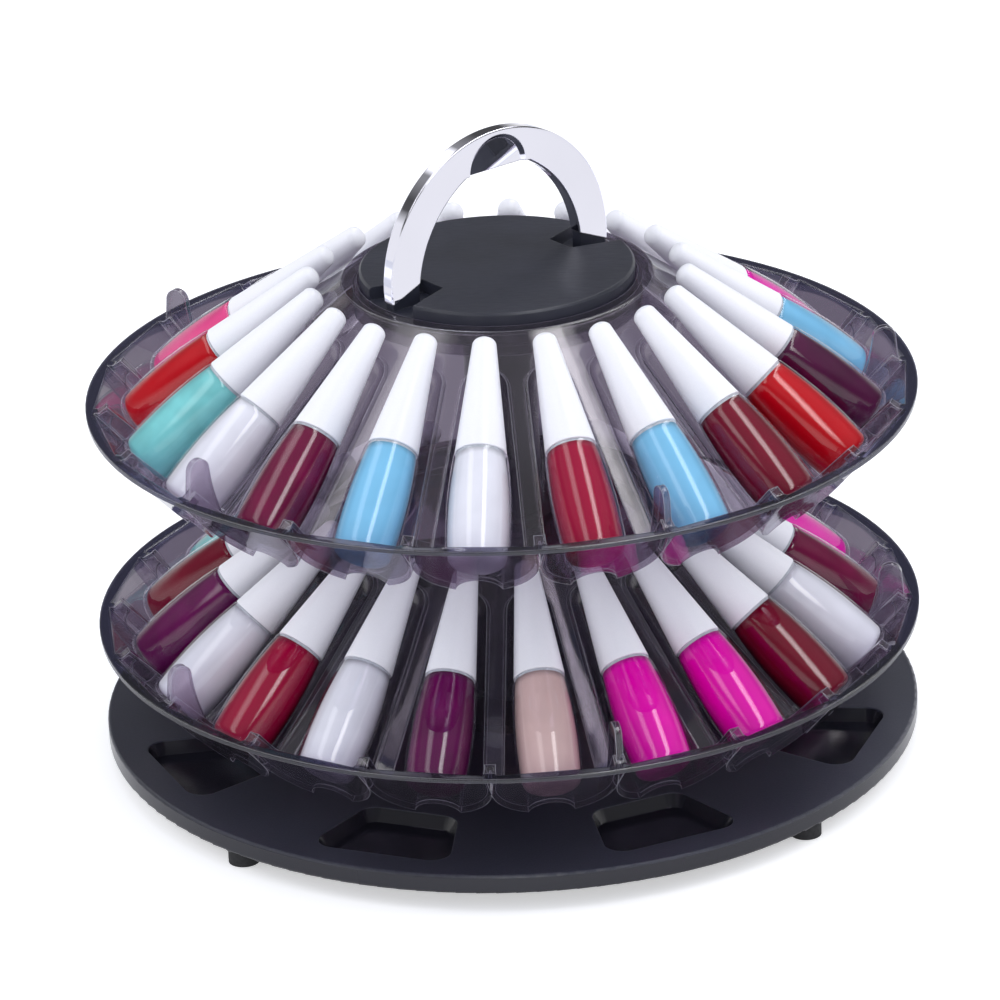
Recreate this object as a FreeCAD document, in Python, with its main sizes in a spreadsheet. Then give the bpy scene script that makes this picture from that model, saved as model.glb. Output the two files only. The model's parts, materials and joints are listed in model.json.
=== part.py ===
"""Two-tier turning nail polish rack, in millimetres.

Frame: Z up, origin on the floor under the centre of the base. The turning axis is Z. An azimuth is measured
in degrees from -Y towards +X. One tray channel is drawn along +X with the rim level at z = 0, then turned
into its place. Two trays of one moulding turn on bushes that a tie rod clamps between base and cap.
"""
import FreeCAD, Part
import math
import os
import re

import Sketcher
from FreeCAD import Placement, Rotation, Vector

os.makedirs("parts", exist_ok=True)
doc = FreeCAD.newDocument("polish_rack")

SIZES = {
    # base plate and its sunk pockets
    "base_radius": 146.7, "base_thickness": 7, "base_edge_round": 1, "base_floor": 2.2,
    "pocket_count": 8, "pocket_margin": 11.7, "pocket_length": 34.3, "pocket_inner_half": 17.1,
    "pocket_outer_half": 26.4, "pocket_corner": 6.9, "pocket_taper": 27, "nut_recess_radius": 14,
    # rubber feet
    "foot_count": 4, "foot_radius": 5.5, "foot_height": 6.4, "foot_inset": 8, "foot_stem_radius": 2.4,
    "foot_stem_length": 3.5, "foot_azimuth": 46.5,
    # where the two trays stand and how they are turned in the photograph
    "lower_rim_height": 50.4, "tray_pitch": 84, "lower_slot_azimuth": 5.5, "upper_slot_azimuth": 13.4,
    # tray moulding: flat flange, channels, and ridges that end in a bump just inside the flange
    "tray_radius": 147.6, "rim_width": 4.35, "flange_width": 4.8, "rim_band": 1.5, "tray_wall": 1.5,
    "slot_count": 20, "bottle_slope": 40.7, "channel_depth": 30.2, "channel_length": 72,
    "channel_start_radius": 8.5, "ridge_width": 4.9, "trough_depth": 9.24, "valley_inset": 5,
    "crest_lean": 3.1, "bump_rise": 2, "bump_inset": 7.6, "window_radius": 8, "window_length": 9,
    "window_drop": 1,
    # tray hub
    "collar_width": 5.4, "hub_recess": 7.6, "hub_plate": 3, "boss_radius": 16, "boss_drop": 5,
    # finger tabs just inside the flange
    "tab_count": 5, "tab_thickness": 2.4, "tab_height": 12.9, "tab_width": 8.4, "tab_inset": 5.3,
    "tab_lean": 0.8, "tab_flare": 6.4, "tab_root_sink": 1, "tab_outer_sink": 0.5,
    # bearing stack and tie rod
    "bush_radius": 10, "bush_gap": 0.06, "glide_radius": 20, "glide_thickness": 1.2, "glide_gap": 0.1,
    "glide_bore_gap": 0.3, "end_play": 0.3, "neck_radius": 13, "column_flange_radius": 34,
    "spacer_flange_radius": 18, "flange_thickness": 3, "rod_radius": 4, "rod_gap": 0.05, "rod_tail": 0.5,
    "washer_radius": 10, "washer_thickness": 1.2, "nut_flats": 13, "bottom_nut_height": 5,
    "cap_nut_height": 3.6, "nut_gap": 0.1,
    # top cap and its handle notches
    "cap_margin": 0.4, "cap_gap": 0.9, "cap_rise": 4.2, "cap_chamfer": 0.8, "notch_depth": 4.8,
    "notch_margin": 7, "notch_inner_half": 5.8, "notch_outer_half": 13.2, "post_inset": 0.6,
    # handle and its screws
    "handle_azimuth": -52.3, "handle_thickness": 5.6, "handle_outer_radius": 48.3, "handle_rise": 50.3,
    "handle_span_width": 14.2, "handle_leg_width": 12.7, "handle_chord_half": 13.1, "handle_grip_lift": 2.5,
    "leg_inner_rise": 3, "leg_outer_drop": 2.4, "scoop_margin": 0.6, "scoop_depth": 1.5, "scoop_taper": 45,
    "handle_edge_round": 0.8,
    "screw_radius": 1.9, "screw_gap": 0.1, "screw_grip": 14, "screw_head_radius": 3.5,
    "screw_head_height": 2,
    # bottles
    "bottle_length": 87.8, "bottle_cap_length": 44.8, "glass_radius": 11.2, "glass_heel_radius": 10.8,
    "glass_heel_flat": 7, "glass_heel_height": 4, "glass_widest": 20, "glass_shoulder": 8.9,
    "bottle_cap_radius": 8.65, "bottle_tip_radius": 4.2, "bottle_tip_height": 3, "bottle_tip_flat": 1,
    "bottle_floor_gap": 0.3, "bottle_wall_gap": 0.3,
}

sheet = doc.addObject("Spreadsheet::Sheet", "Sizes")
for row, (alias, number) in enumerate(SIZES.items(), start=1):
    sheet.set(f"A{row}", alias)
    sheet.set(f"B{row}", str(number))
    sheet.setAlias(f"B{row}", alias)
doc.recompute()


def formula(text):
    """Turn a formula written with size names into one that any object can read from the sheet."""
    return re.sub(r"[a-z_]+", lambda word: f"Sizes.{word[0]}" if word[0] in SIZES else word[0], text)


def value(text):
    """The number that a formula gives now."""
    return float(sheet.evalExpression(formula(text)))


# Levels and radii that several pieces share, each written once.
SLOPE = "(bottle_slope * 1deg)"
POCKET_OUTER = "(base_radius - pocket_margin)"
POCKET_INNER = f"({POCKET_OUTER} - pocket_length)"
FOOT_CIRCLE = "(base_radius - foot_inset)"
BASE_TOP = "(foot_height + base_thickness)"
RECESS_TOP = "(foot_height + base_thickness / 2)"
WALL_RADIUS = "(tray_radius - rim_width)"
FLANGE_INNER = "(tray_radius - flange_width)"
BUMP_RADIUS = "(tray_radius - bump_inset)"
FLOOR_END_RADIUS = f"({WALL_RADIUS} - channel_depth * sin({SLOPE}))"
FLOOR_END_LEVEL = f"(-channel_depth * cos({SLOPE}))"
VALLEY_RADIUS = f"({FLOOR_END_RADIUS} + trough_depth * sin({SLOPE}) - valley_inset * cos({SLOPE}))"
VALLEY_LEVEL = f"({FLOOR_END_LEVEL} + trough_depth * cos({SLOPE}) + valley_inset * sin({SLOPE}))"
CAP_RADIUS = "(handle_outer_radius + cap_margin)"
COLLAR_BORE = f"({CAP_RADIUS} + cap_gap)"
COLLAR_RADIUS = f"({COLLAR_BORE} + collar_width)"
CREST_FALL = "tan((bottle_slope - crest_lean) * 1deg)"
COLLAR_TOP = f"({VALLEY_LEVEL} + ({VALLEY_RADIUS} - {COLLAR_RADIUS}) * {CREST_FALL})"
HUB_FLOOR = f"({COLLAR_TOP} - hub_recess)"
HUB_BOTTOM = f"({HUB_FLOOR} - hub_plate)"
BOSS_BOTTOM = f"({HUB_BOTTOM} - boss_drop)"
RIDGE_CLIMB = f"((bump_rise - {VALLEY_LEVEL}) / ({BUMP_RADIUS} - {VALLEY_RADIUS}))"
CHANNEL_END_RADIUS = f"({WALL_RADIUS} * tan(180deg / slot_count) - ridge_width / 2)"
UPPER_RIM = "(lower_rim_height + tray_pitch)"
COLUMN_TOP = f"(lower_rim_height + {BOSS_BOTTOM} - glide_gap - glide_thickness)"
LOWER_BUSH_TOP = f"(lower_rim_height + {HUB_FLOOR} + end_play)"
SPACER_TOP = f"({UPPER_RIM} + {BOSS_BOTTOM} - glide_gap - glide_thickness)"
CAP_BOTTOM = f"({UPPER_RIM} + {HUB_FLOOR} + end_play)"
CAP_TOP = f"({UPPER_RIM} + {COLLAR_TOP} + cap_rise)"
NOTCH_FLOOR = f"({CAP_TOP} - notch_depth)"
ROD_HOLE = "(rod_radius + rod_gap)"
HANDLE_TURN = "(handle_azimuth - 90)"
HANDLE_PLACE = f"({HANDLE_TURN} * 1deg)"
LEG_INNER = "(handle_outer_radius - handle_leg_width)"
LEG_OUTER = "sqrt(handle_outer_radius ^ 2 - (handle_rise + leg_outer_drop - handle_outer_radius) ^ 2)"
LEG_SLANT = f"((leg_inner_rise + leg_outer_drop) / ({LEG_OUTER} - {LEG_INNER}))"
SIDE_FOOT = "(leg_inner_rise + handle_grip_lift)"
SIDE_CROWN = "(handle_rise - handle_span_width + handle_grip_lift)"
SIDE_WIDTHS = f"({LEG_INNER} ^ 2 - handle_chord_half ^ 2 + {SIDE_FOOT} ^ 2 - {SIDE_CROWN} ^ 2)"
SIDE_CENTRE = f"({SIDE_WIDTHS} / 2 / ({LEG_INNER} - handle_chord_half))"
SIDE_RADIUS = f"sqrt(({LEG_INNER} - {SIDE_CENTRE}) ^ 2 + {SIDE_FOOT} ^ 2)"
SCOOP_RADIUS = "(handle_chord_half - scoop_margin)"
SCREW_CIRCLE = "(handle_outer_radius - handle_leg_width / 2)"
SCREW_HEAD_BOTTOM = f"({CAP_BOTTOM} + screw_gap)"
SCREW_HEAD_TOP = f"({SCREW_HEAD_BOTTOM} + screw_head_height)"


def bind(thing, **formulas):
    """Bind properties of an object, named with _ for the dots, to formulas of the sheet."""
    for name, text in formulas.items():
        thing.setExpression(name.replace("_", "."), formula(text))
    return thing


def cylinder(name, radius, height, level, x="0", y="0"):
    tube = doc.addObject("Part::Cylinder", name)
    bind(tube, Radius=radius, Height=height)
    return bind(tube, Placement_Base_x=x, Placement_Base_y=y, Placement_Base_z=level)


def hexagon(name, flats, height, level, turn):
    prism = doc.addObject("Part::Prism", name)
    prism.Polygon = 6
    bind(prism, Circumradius=f"({flats}) / 2 / cos(30deg)", Height=height)
    return bind(prism, Placement_Base_z=level, Placement_Rotation_Angle=f"{turn} * 1deg")


def cut(name, base, tool):
    result = doc.addObject("Part::Cut", name)
    result.Base = base
    result.Tool = tool
    return result


def fuse(name, pieces):
    result = doc.addObject("Part::MultiFuse", name)
    result.Shapes = pieces
    return result


def group(name, pieces):
    result = doc.addObject("Part::Compound", name)
    result.Links = pieces
    return result


def solid_feature(name, shape, place=None):
    feature = doc.addObject("Part::Feature", name)
    feature.Shape = shape
    feature.Placement = place or Placement()
    return feature


# Helpers for bodies that are drawn with sketches.

def origin_feature(body, role):
    return next(item for item in body.Origin.OriginFeatures if item.Role == role)


def sketch_in(body, name, level="0", role="XY_Plane", turn="0"):
    sketch = body.newObject("Sketcher::SketchObject", name)
    sketch.AttachmentSupport = [(origin_feature(body, role), "")]
    sketch.MapMode = "FlatFace"
    return bind(sketch, AttachmentOffset_Base_z=level, AttachmentOffset_Rotation_Angle=f"{turn} * 1deg")


def tie_number(sketch, constraint, text):
    index = sketch.addConstraint(constraint)
    sketch.setExpression(f"Constraints[{index}]", formula(text))


def circle(sketch, radius, x="0"):
    """A circle on the sketch's X axis, its radius and place tied to the sheet."""
    index = sketch.addGeometry(Part.Circle(Vector(value(x), 0, 0), Vector(0, 0, 1), value(radius)))
    tie_number(sketch, Sketcher.Constraint("Radius", index, value(radius)), radius)
    if x == "0":
        sketch.addConstraint(Sketcher.Constraint("Coincident", index, 3, -1, 1))
        return
    sketch.addConstraint(Sketcher.Constraint("PointOnObject", index, 3, -1))
    tie_number(sketch, Sketcher.Constraint("DistanceX", -1, 1, index, 3, value(x)), x)


def touching_ends(sketch, first, second):
    """The numbers of the two ends, 1 or 2, at which one curve meets the next."""
    return next((a, b) for a in (1, 2) for b in (1, 2)
                if sketch.getPoint(first, a).isEqual(sketch.getPoint(second, b), 1e-5))


def joined(sketch, curves):
    """Draw curves that follow one another in a ring and join their neighbouring ends."""
    first = sketch.addGeometry(curves)[0]
    count = len(curves)
    for here in range(count):
        there = (here + 1) % count
        leave, enter = touching_ends(sketch, first + here, first + there)
        sketch.addConstraint(Sketcher.Constraint("Coincident", first + here, leave, first + there, enter))
    return first


def segment(start, end):
    return Part.LineSegment(Vector(*start, 0), Vector(*end, 0))


def place_point(sketch, index, end, x, y):
    """Tie a point of the sketch to its place from the origin."""
    tie_number(sketch, Sketcher.Constraint("DistanceX", -1, 1, index, end, value(x)), x)
    tie_number(sketch, Sketcher.Constraint("DistanceY", -1, 1, index, end, value(y)), y)


def polygon(sketch, corners):
    """A closed polygon whose corners are pairs of formulas."""
    points = [(value(x), value(y)) for x, y in corners]
    first = joined(sketch, [segment(a, b) for a, b in zip(points, points[1:] + points[:1])])
    for offset, (x, y) in enumerate(corners):
        place_point(sketch, first + offset, 1, x, y)


def feature(body, kind, name, sketch, length, taper="0"):
    """Pad or Pocket a sketch by a length; the taper opens it towards the sketch."""
    item = body.newObject(f"PartDesign::{kind}", name)
    item.Profile = sketch
    bind(item, Length=length, TaperAngle=taper)
    return item


def around(body, name, item, count):
    pattern = body.newObject("PartDesign::PolarPattern", name)
    pattern.Originals = [item]
    pattern.Axis = (origin_feature(body, "Z_Axis"), [""])
    pattern.Angle = 360
    bind(pattern, Occurrences=count)
    body.Tip = pattern
    return pattern


def named_edges(shape, wanted):
    return [f"Edge{number}" for number, edge in enumerate(shape.Edges, start=1) if wanted(edge)]


def round_off(body, name, kind, size, wanted):
    """Fillet or Chamfer the wanted edges of the body's tip."""
    doc.recompute()
    base = body.Tip
    item = body.newObject(f"PartDesign::{kind}", name)
    item.Base = (base, named_edges(base.Shape, wanted))
    bind(item, **{"Radius" if kind == "Fillet" else "Size": size})
    return item


def is_full_circle(edge, radius):
    return (isinstance(edge.Curve, Part.Circle) and abs(edge.Curve.Radius - radius) < 1e-4
            and abs(edge.Curve.Center.x) + abs(edge.Curve.Center.y) < 1e-4)


# Base plate and feet.

def pocket_outline(sketch):
    """A trapezoid with round corners, wider towards the rim of the base."""
    inner = value(POCKET_INNER)
    outer = value(POCKET_OUTER)
    corners = [Vector(inner, -value("pocket_inner_half"), 0), Vector(outer, -value("pocket_outer_half"), 0),
               Vector(outer, value("pocket_outer_half"), 0), Vector(inner, value("pocket_inner_half"), 0)]
    curves = []
    radius = value("pocket_corner")
    cuts = [corner_cut(corners[n - 1], corners[n], corners[(n + 1) % 4], radius) for n in range(4)]
    for n, (entry, middle, leave) in enumerate(cuts):
        curves.append(Part.Arc(entry, middle, leave))
        curves.append(Part.LineSegment(leave, cuts[(n + 1) % 4][0]))
    first = joined(sketch, curves)
    for n in range(4):
        tie_number(sketch, Sketcher.Constraint("Radius", first + 2 * n, radius), "pocket_corner")


def corner_cut(before, corner, after, radius):
    """Start, middle and end of the arc that rounds a corner."""
    to_before = (before - corner).normalize()
    to_after = (after - corner).normalize()
    half = to_before.getAngle(to_after) / 2
    centre = corner + (to_before + to_after).normalize() * (radius / math.sin(half))
    back = radius / math.tan(half)
    middle = centre + (corner - centre).normalize() * radius
    return corner + to_before * back, middle, corner + to_after * back


def base_plate():
    body = doc.addObject("PartDesign::Body", "base_plate")
    disc = sketch_in(body, "base_outline", "foot_height")
    circle(disc, "base_radius")
    feature(body, "Pad", "base_disc", disc, "base_thickness")
    well = sketch_in(body, "pocket_outline", BASE_TOP)
    pocket_outline(well)
    sunk = feature(body, "Pocket", "sunk_pocket", well, "base_thickness - base_floor", "-pocket_taper")
    around(body, "sunk_pockets", sunk, "pocket_count")
    rod_hole = sketch_in(body, "rod_hole_outline", BASE_TOP)
    circle(rod_hole, ROD_HOLE)
    feature(body, "Pocket", "rod_hole", rod_hole, "base_thickness")
    recess = sketch_in(body, "nut_recess_outline", RECESS_TOP)
    circle(recess, "nut_recess_radius")
    feature(body, "Pocket", "nut_recess", recess, "base_thickness / 2")
    stem = sketch_in(body, "foot_hole_outline", "foot_height + foot_stem_length + rod_gap",
                     turn="180 / pocket_count")
    circle(stem, "foot_stem_radius + rod_gap", FOOT_CIRCLE)
    stem_hole = feature(body, "Pocket", "foot_hole", stem, "foot_stem_length + rod_gap")
    around(body, "foot_holes", stem_hole, "foot_count")
    rim = value("base_radius")
    round_off(body, "base_edge", "Fillet", "base_edge_round", lambda edge: is_full_circle(edge, rim))
    bind(body, Placement_Rotation_Angle="(foot_azimuth - 90 - 180 / pocket_count) * 1deg")
    return body


def rubber_feet():
    """Four stubs, each with a stem pressed into the base."""
    feet = []
    for number in range(int(value("foot_count"))):
        turn = f"((foot_azimuth - 90 + 360 / foot_count * {number}) * 1deg)"
        place = {"x": f"{FOOT_CIRCLE} * cos({turn})", "y": f"{FOOT_CIRCLE} * sin({turn})"}
        stub = cylinder(f"foot_stub_{number + 1}", "foot_radius", "foot_height", "0", **place)
        stem_top = "foot_height + foot_stem_length"
        stem = cylinder(f"foot_stem_{number + 1}", "foot_stem_radius", stem_top, "0", **place)
        feet.append(fuse(f"foot_{number + 1}", [stub, stem]))
    return group("rubber_feet", feet)


# Column, spacer, bearings and tie rod, from the base up.

def flanged_tube(name, bottom, top, flanges):
    """A tube with flanges, each a pair of radius and level, bored for the tie rod."""
    pieces = [cylinder(f"{name}_neck", "neck_radius", f"{top} - {bottom}", bottom)]
    for number, (radius, level) in enumerate(flanges, start=1):
        pieces.append(cylinder(f"{name}_flange_{number}", radius, "flange_thickness", level))
    bore = cylinder(f"{name}_bore", ROD_HOLE, f"{top} - {bottom}", bottom)
    return cut(name, fuse(f"{name}_outside", pieces), bore)


def ring(name, radius, bore, height, level):
    disc = cylinder(f"{name}_disc", radius, height, level)
    return cut(name, disc, cylinder(f"{name}_bore", bore, height, level))


def bearing(tier, bottom, top):
    """The glide washer that carries a tray hub and the bush that it turns on."""
    clear = "bush_radius + glide_bore_gap"
    washer = ring(f"{tier}_glide_washer", "glide_radius", clear, "glide_thickness", bottom)
    bush = ring(f"{tier}_bush", "bush_radius", ROD_HOLE, f"{top} - {bottom}", bottom)
    return [washer, bush]


def nut(name, height, level, turn="0"):
    return cut(name, hexagon(f"{name}_blank", "nut_flats", height, level, turn),
               cylinder(f"{name}_thread", ROD_HOLE, height, level))


def spindle():
    column = flanged_tube("base_column", BASE_TOP, COLUMN_TOP, [("column_flange_radius", BASE_TOP)])
    spacer = flanged_tube("middle_spacer", LOWER_BUSH_TOP, SPACER_TOP,
                          [("spacer_flange_radius", LOWER_BUSH_TOP),
                           ("spacer_flange_radius", f"{SPACER_TOP} - flange_thickness")])
    washer_level = f"({RECESS_TOP} - washer_thickness)"
    nut_level = f"({washer_level} - bottom_nut_height)"
    rod_bottom = f"({nut_level} - rod_tail)"
    rod_top = f"({CAP_BOTTOM} + cap_nut_height)"
    rod = cylinder("tie_rod", "rod_radius", f"{rod_top} - {rod_bottom}", rod_bottom)
    washer = ring("bottom_washer", "washer_radius", ROD_HOLE, "washer_thickness", washer_level)
    bottom_nut = nut("bottom_nut", "bottom_nut_height", nut_level)
    cap_nut = nut("cap_nut", "cap_nut_height", CAP_BOTTOM, HANDLE_TURN)
    bearings = bearing("lower", COLUMN_TOP, LOWER_BUSH_TOP) + bearing("upper", SPACER_TOP, CAP_BOTTOM)
    return [column, spacer, rod, washer, bottom_nut, cap_nut] + bearings


# Top cap and handle, drawn with the handle's plane along X and turned as one.

def leg_level(x):
    """Level of the slanted line where a leg of the handle meets its post."""
    return f"({CAP_TOP} + leg_inner_rise - ({x} - {LEG_INNER}) * {LEG_SLANT})"


def top_cap():
    body = doc.addObject("PartDesign::Body", "top_cap")
    disc = sketch_in(body, "cap_outline", CAP_BOTTOM)
    circle(disc, CAP_RADIUS)
    feature(body, "Pad", "cap_disc", disc, f"{CAP_TOP} - {CAP_BOTTOM}")
    edge_radius = value(CAP_RADIUS)
    top = value(CAP_TOP)
    round_off(body, "cap_edge", "Chamfer", "cap_chamfer",
              lambda edge: is_full_circle(edge, edge_radius) and abs(edge.Curve.Center.z - top) < 1e-4)
    notch = sketch_in(body, "notch_outline", CAP_TOP)
    outside = f"{CAP_RADIUS} + cap_gap"
    inside = f"({LEG_INNER} - notch_margin)"
    polygon(notch, [(inside, "-notch_inner_half"), (outside, "-notch_outer_half"),
                    (outside, "notch_outer_half"), (inside, "notch_inner_half")])
    around(body, "notches", feature(body, "Pocket", "notch", notch, "notch_depth"), "2")
    half = "(handle_thickness / 2 - post_inset)"
    post = sketch_in(body, "post_outline", f"-{half}", "XZ_Plane")
    inner = f"({LEG_INNER} + post_inset)"
    outer = f"({LEG_OUTER} - post_inset)"
    polygon(post, [(inner, NOTCH_FLOOR), (outer, NOTCH_FLOOR),
                   (outer, leg_level(outer)), (inner, leg_level(inner))])
    around(body, "posts", feature(body, "Pad", "post", post, f"2 * {half}"), "2")
    nut_pocket = sketch_in(body, "nut_pocket_outline", f"{CAP_BOTTOM} + cap_nut_height")
    corner = "((nut_flats / 2 + nut_gap) / cos(30deg))"
    turns = [60 * n for n in range(6)]
    polygon(nut_pocket, [(f"{corner} * cos({turn}deg)", f"{corner} * sin({turn}deg)") for turn in turns])
    feature(body, "Pocket", "nut_pocket", nut_pocket, "cap_nut_height")
    screw_hole = sketch_in(body, "screw_hole_outline", f"{CAP_TOP} + leg_inner_rise")
    circle(screw_hole, "screw_radius + screw_gap", SCREW_CIRCLE)
    hole = feature(body, "Pocket", "screw_hole", screw_hole, f"{CAP_TOP} + leg_inner_rise - {CAP_BOTTOM}")
    around(body, "screw_holes", hole, "2")
    head_hole = sketch_in(body, "head_hole_outline", SCREW_HEAD_TOP)
    circle(head_hole, "screw_head_radius + screw_gap", SCREW_CIRCLE)
    sink = feature(body, "Pocket", "head_hole", head_hole, f"{SCREW_HEAD_TOP} - {CAP_BOTTOM}")
    around(body, "head_holes", sink, "2")
    bind(body, Placement_Rotation_Angle=f"{HANDLE_TURN} * 1deg")
    return body


def arc_about(centre_x, centre_y, radius, start, end):
    """An arc from one angle to another, in radians, counterclockwise."""
    return Part.ArcOfCircle(Part.Circle(Vector(centre_x, centre_y, 0), Vector(0, 0, 1), radius), start, end)


def arch_curves():
    """The flat arch: round outside, two side arcs and a flat grip chord inside, slanted feet."""
    top = value(CAP_TOP)
    outer = value("handle_outer_radius")
    crown = top + value("handle_rise")
    chord = crown - value("handle_span_width")
    side = value(SIDE_RADIUS)
    centre = crown - outer
    inner_foot, outer_foot = value(LEG_INNER), value(LEG_OUTER)
    inner_level = top + value("leg_inner_rise")
    outer_level = top - value("leg_outer_drop")
    side_level = top - value("handle_grip_lift")
    side_centre = value(SIDE_CENTRE)
    outer_start = math.asin((outer_level - centre) / outer)
    foot_angle = math.asin((inner_level - side_level) / side)
    chord_angle = math.asin((chord - side_level) / side)
    chord_half = value("handle_chord_half")
    return [
        arc_about(0, centre, outer, outer_start, math.pi - outer_start),
        segment((-outer_foot, outer_level), (-inner_foot, inner_level)),
        arc_about(-side_centre, side_level, side, math.pi - chord_angle, math.pi - foot_angle),
        segment((-chord_half, chord), (chord_half, chord)),
        arc_about(side_centre, side_level, side, foot_angle, chord_angle),
        segment((inner_foot, inner_level), (outer_foot, outer_level)),
    ]


def handle():
    body = doc.addObject("PartDesign::Body", "handle")
    arch = sketch_in(body, "arch_outline", "-handle_thickness / 2", "XZ_Plane")
    first = joined(arch, arch_curves())
    outer = "handle_outer_radius"
    tie_number(arch, Sketcher.Constraint("Radius", first, value(outer)), outer)
    for side in (2, 4):
        tie_number(arch, Sketcher.Constraint("Radius", first + side, value(SIDE_RADIUS)), SIDE_RADIUS)
    place_point(arch, first, 3, "0", f"{CAP_TOP} + handle_rise - handle_outer_radius")
    feature(body, "Pad", "arch", arch, "handle_thickness")
    face = value("handle_thickness") / 2
    round_off(body, "arch_edges", "Fillet", "handle_edge_round",
              lambda edge: isinstance(edge.Curve, Part.Circle)
              and all(abs(abs(v.Point.y) - face) < 1e-4 for v in edge.Vertexes))
    chord = f"({CAP_TOP} + handle_rise - handle_span_width)"
    faces = (("front", "handle_thickness / 2", False), ("back", "-handle_thickness / 2", True))
    for name, level, turned in faces:
        dish = sketch_in(body, f"{name}_scoop_outline", level, "XZ_Plane")
        circle_at_chord(dish, chord)
        scoop = feature(body, "Pocket", f"{name}_scoop", dish, "scoop_depth", "-scoop_taper")
        scoop.Reversed = turned
    pilot = sketch_in(body, "pilot_outline", f"{SCREW_HEAD_TOP} + screw_grip + screw_gap")
    circle(pilot, "screw_radius + screw_gap", SCREW_CIRCLE)
    depth = f"{SCREW_HEAD_TOP} + screw_grip + screw_gap - {CAP_TOP} + leg_outer_drop"
    bore = feature(body, "Pocket", "pilot", pilot, depth)
    around(body, "pilots", bore, "2")
    bind(body, Placement_Rotation_Angle=f"{HANDLE_TURN} * 1deg")
    return body


def circle_at_chord(sketch, chord):
    centre = Vector(0, value(chord), 0)
    index = sketch.addGeometry(Part.Circle(centre, Vector(0, 0, 1), value(SCOOP_RADIUS)))
    tie_number(sketch, Sketcher.Constraint("Radius", index, value(SCOOP_RADIUS)), SCOOP_RADIUS)
    place_point(sketch, index, 3, "0", chord)


def handle_screws():
    """Two screws up through the cap and its posts into the legs."""
    screws = []
    for number, sign in enumerate(("1", "-1"), start=1):
        place = {"x": f"{sign} * {SCREW_CIRCLE} * cos{HANDLE_PLACE}",
                 "y": f"{sign} * {SCREW_CIRCLE} * sin{HANDLE_PLACE}"}
        head = cylinder(f"screw_head_{number}", "screw_head_radius", "screw_head_height",
                        SCREW_HEAD_BOTTOM, **place)
        shank = cylinder(f"screw_shank_{number}", "screw_radius", "screw_head_height + screw_grip",
                         SCREW_HEAD_BOTTOM, **place)
        screws.append(fuse(f"handle_screw_{number}", [head, shank]))
    return group("handle_screws", screws)


# Tray moulding. Down is the way the bottle slopes and lift is square to the channel floor.

tilt = math.radians(value("bottle_slope"))
down = Vector(math.cos(tilt), 0, -math.sin(tilt))
lift = Vector(math.sin(tilt), 0, math.cos(tilt))
across = Vector(0, 1, 0)
floor_end = Vector(value(FLOOR_END_RADIUS), 0, value(FLOOR_END_LEVEL))
slot_step = 360 / value("slot_count")
below_all = value(FLOOR_END_LEVEL) - 10


def turned_profile(points, half_angle):
    """Turn a radial outline about Z through an angle on each side of +X."""
    outline = Part.Face(Part.makePolygon([Vector(r, 0, z) for r, z in points + points[:1]]))
    outline.rotate(Vector(), Vector(0, 0, 1), -half_angle)
    return outline.revolve(Vector(), Vector(0, 0, 1), 2 * half_angle)


def crest_block(half_angle):
    """Everything under the top surface of hub, crest, ridge bump and flange, down past the channels."""
    rim = value("tray_radius")
    bore = value("bush_radius + bush_gap")
    return turned_profile([
        (bore, below_all), (bore, value(HUB_FLOOR)),
        (value(COLLAR_BORE), value(HUB_FLOOR)), (value(COLLAR_BORE), value(COLLAR_TOP)),
        (value(COLLAR_RADIUS), value(COLLAR_TOP)), (value(VALLEY_RADIUS), value(VALLEY_LEVEL)),
        (value(BUMP_RADIUS), value("bump_rise")), (value(FLANGE_INNER), 0), (rim, 0),
        (rim, below_all)], half_angle)


def underside_block(half_angle):
    """The air under the moulding, one wall thickness below its top surface."""
    wall = value("tray_wall")
    rim = value("tray_radius")
    fall = value(CREST_FALL)
    valley_radius = value(VALLEY_RADIUS)
    valley_drop = value(VALLEY_LEVEL) - wall * math.hypot(1, fall)
    bump_under = value("bump_rise") - wall * math.hypot(1, value(RIDGE_CLIMB))
    collar_under = value(COLLAR_TOP) - wall
    inner = value(COLLAR_BORE) + wall
    return turned_profile([
        (1, below_all - 1), (1, value(BOSS_BOTTOM)),
        (value("boss_radius"), value(BOSS_BOTTOM)), (value("boss_radius"), value(HUB_BOTTOM)),
        (inner, value(HUB_BOTTOM)), (inner, collar_under),
        (valley_radius - (collar_under - valley_drop) / fall, collar_under), (valley_radius, valley_drop),
        (value(BUMP_RADIUS), bump_under), (value(FLANGE_INNER), -value("rim_band")),
        (rim + wall, -value("rim_band")), (rim + wall, below_all - 1)], half_angle)


def channel_body(extra):
    """A channel that widens down the slope, grown by an extra wall and closed by its end wall."""
    small = value("channel_start_radius")
    large = value(CHANNEL_END_RADIUS)
    start = floor_end - down * value("channel_length") + lift * small
    end = floor_end + lift * large
    axis = (end - start).normalize()
    up = axis.cross(across)
    lean = math.asin((large - small) / (end - start).Length)
    small += extra
    large += extra
    side = across * math.cos(lean) - axis * math.sin(lean)
    other = across * -math.cos(lean) - axis * math.sin(lean)
    tip, foot = start - axis * small, end + axis * large
    right = [Part.Arc(tip, start + (side - axis).normalize() * small, start + side * small).toShape(),
             Part.makeLine(start + side * small, end + side * large),
             Part.Arc(end + side * large, end + (side + axis).normalize() * large, foot).toShape()]
    left = [Part.Arc(foot, end + (other + axis).normalize() * large, end + other * large).toShape(),
            Part.makeLine(end + other * large, start + other * small),
            Part.Arc(start + other * small, start + (other - axis).normalize() * small, tip).toShape()]
    half = Part.Face(Part.Wire(right + [Part.makeLine(foot, tip)]))
    bowl = half.revolve(start, axis, -180)
    if bowl.CenterOfMass.sub(start).dot(up) > 0:
        bowl = half.revolve(start, axis, 180)
    height = 2 * value("channel_depth")
    mouth = Part.Face(Part.Wire(right + left)).extrude(up * height)
    return bowl.fuse(mouth).cut(beyond_wall(extra))


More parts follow.
